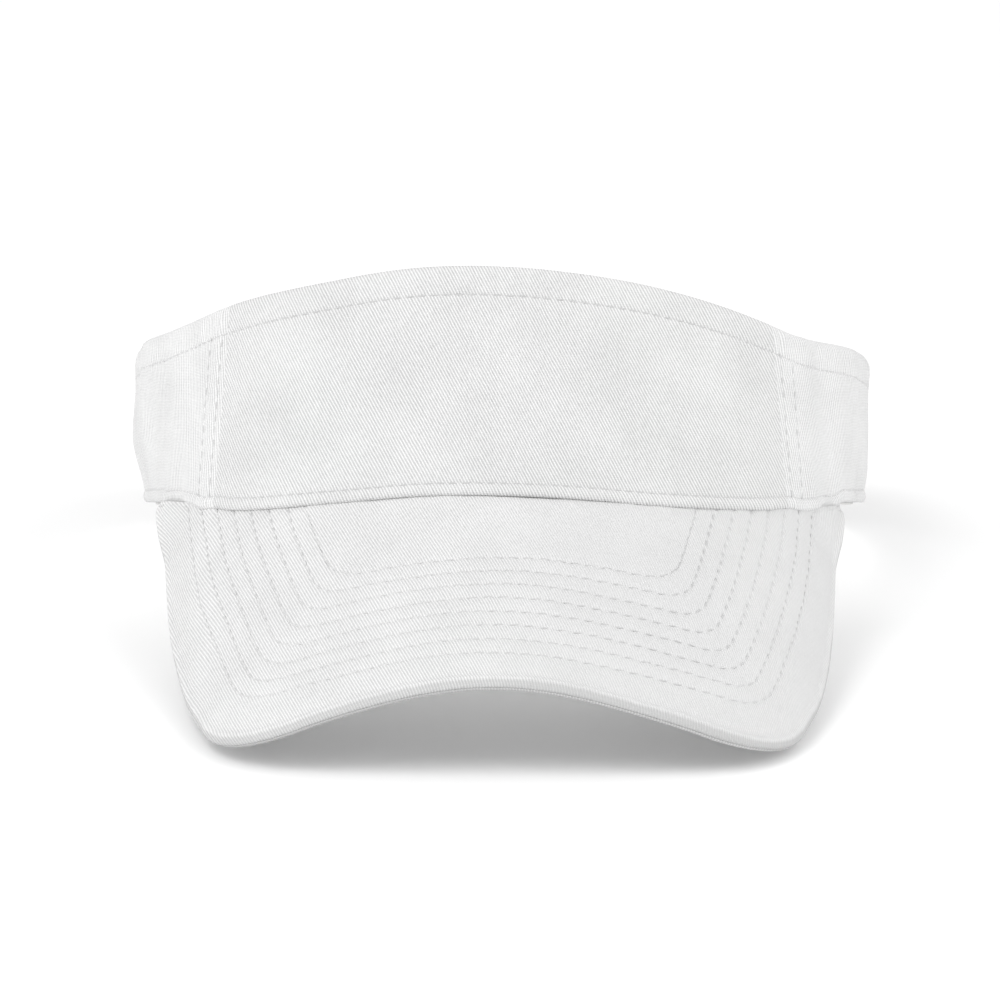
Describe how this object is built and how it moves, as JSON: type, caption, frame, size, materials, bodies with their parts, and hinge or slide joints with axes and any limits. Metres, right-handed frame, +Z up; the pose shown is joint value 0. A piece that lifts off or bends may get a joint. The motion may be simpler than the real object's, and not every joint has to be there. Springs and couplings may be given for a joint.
{
  "type": "sun visor",
  "caption": "Cloth sun visor: arched stitched bill, low open band with side seams, sweatband, and a hook-and-loop strap at the back that sets the size.",
  "frame": {"origin": "centre of the bounding box on the table that the visor rests on, touching with the two front corners of its bill and the back of its band", "axes": "+Z up from the table, -Y forward along the bill, +X to the wearer's left"},
  "size_m": [0.1752, 0.2558, 0.1011],
  "materials": {
    "twill": "washed cotton twill, matte",
    "sweatband": "cotton twill sweatband, matte",
    "interlining": "stiff open-weave interlining",
    "foam": "thin polyester wadding",
    "insert": "flexible plastic board",
    "hook_tape": "nylon hook tape",
    "loop_tape": "nylon loop tape, fuzzy",
    "thread": "spun polyester thread",
    "label": "blank satin label"
  },
  "bodies": {
    "front": {"bill_insert": "insert", "bill_upper_cover": "twill", "bill_lower_cover": "twill", "front_panel": "twill", "front_interlining": "interlining", "left_side_panel": "twill", "right_side_panel": "twill", "front_lining": "twill", "sweatband_front": "sweatband", "sweatband_pad": "foam"},
    "left_arm": {"left_arm_panel": "twill", "left_arm_lining": "twill", "sweatband_left": "sweatband", "care_label": "label"},
    "right_arm": {"right_arm_panel": "twill", "right_arm_lining": "twill", "sweatband_right": "sweatband"},
    "left_strap": {"loop_strap": "twill", "loop_tape": "loop_tape", "loop_strap_tacks": "thread"},
    "right_strap": {"hook_strap": "twill", "hook_tape": "hook_tape", "hook_strap_tacks": "thread"},
    "hook_tab": {"hook_tab": "twill", "hook_tab_tape": "hook_tape"}
  },
  "joints": [
    {"name": "left_arm_flex", "type": "hinge", "parent": "front", "child": "left_arm", "pos_m": [-0.0824, 0.02563, 0.04112], "axis": [0, 0.2641, 0.9645], "range_deg": [-4, 8]},
    {"name": "right_arm_flex", "type": "hinge", "parent": "front", "child": "right_arm", "pos_m": [0.0824, 0.02563, 0.04112], "axis": [0, 0.2641, 0.9645], "range_deg": [-8, 4]},
    {"name": "left_strap_slide", "type": "hinge", "parent": "left_arm", "child": "left_strap", "pos_m": [-0.047, 0.12359, 0.01222], "axis": [0, 0.2641, 0.9645], "range_deg": [-8, 4]},
    {"name": "right_strap_slide", "type": "hinge", "parent": "right_arm", "child": "right_strap", "pos_m": [0.047, 0.12359, 0.01222], "axis": [0, 0.2641, 0.9645], "range_deg": [-4, 8]},
    {"name": "hook_tab_peel", "type": "hinge", "parent": "right_strap", "child": "hook_tab", "pos_m": [-0.0035, 0.12455, 0.01196], "axis": [0, -0.2641, -0.9645], "range_deg": [0, 120]}
  ],
  "couplings": [
    {"joint": "right_arm_flex", "follows": "left_arm_flex", "ratio": -1},
    {"joint": "left_strap_slide", "follows": "left_arm_flex", "ratio": -1},
    {"joint": "right_strap_slide", "follows": "left_arm_flex", "ratio": 1}
  ]
}
